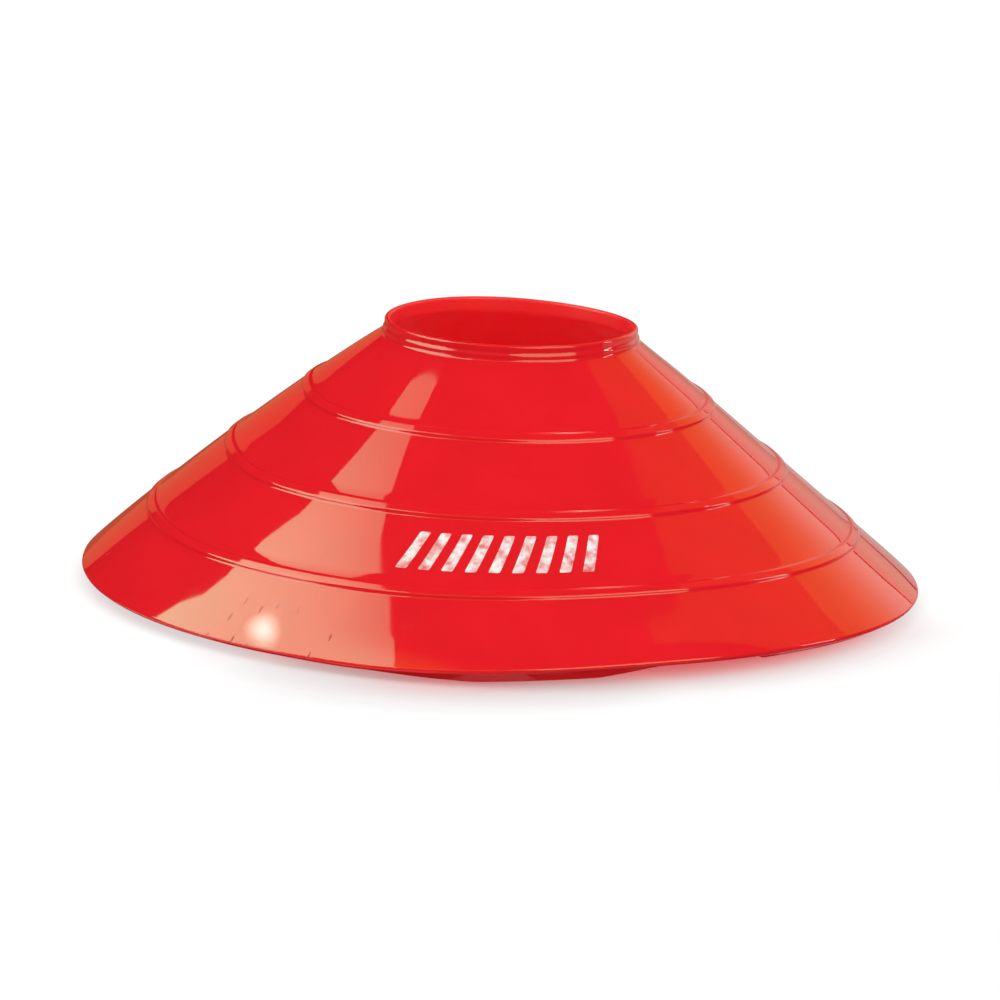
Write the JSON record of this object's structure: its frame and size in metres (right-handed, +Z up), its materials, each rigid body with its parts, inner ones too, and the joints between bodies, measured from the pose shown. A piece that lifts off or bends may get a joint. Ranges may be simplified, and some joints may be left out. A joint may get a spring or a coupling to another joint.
{
  "type": "sports marker cone",
  "caption": "Low hollow marker cone in flexible plastic, with an open collar at the top, raised rings round its slope and a notched foot under a thin lip.",
  "frame": {"origin": "on the floor under the middle of the cone", "axes": "+Z up along the cone's axis, -Y towards the front with the printed mark, +X to the right of it"},
  "size_m": [0.2, 0.2, 0.065],
  "materials": {
    "red_plastic": "glossy moulded low-density polyethylene, bright red, lightly scuffed near the lip",
    "white_ink": "pad-printed white ink, satin"
  },
  "bodies": {
    "root": {"cone_shell": "red_plastic", "print_marking": "white_ink"}
  },
  "joints": []
}
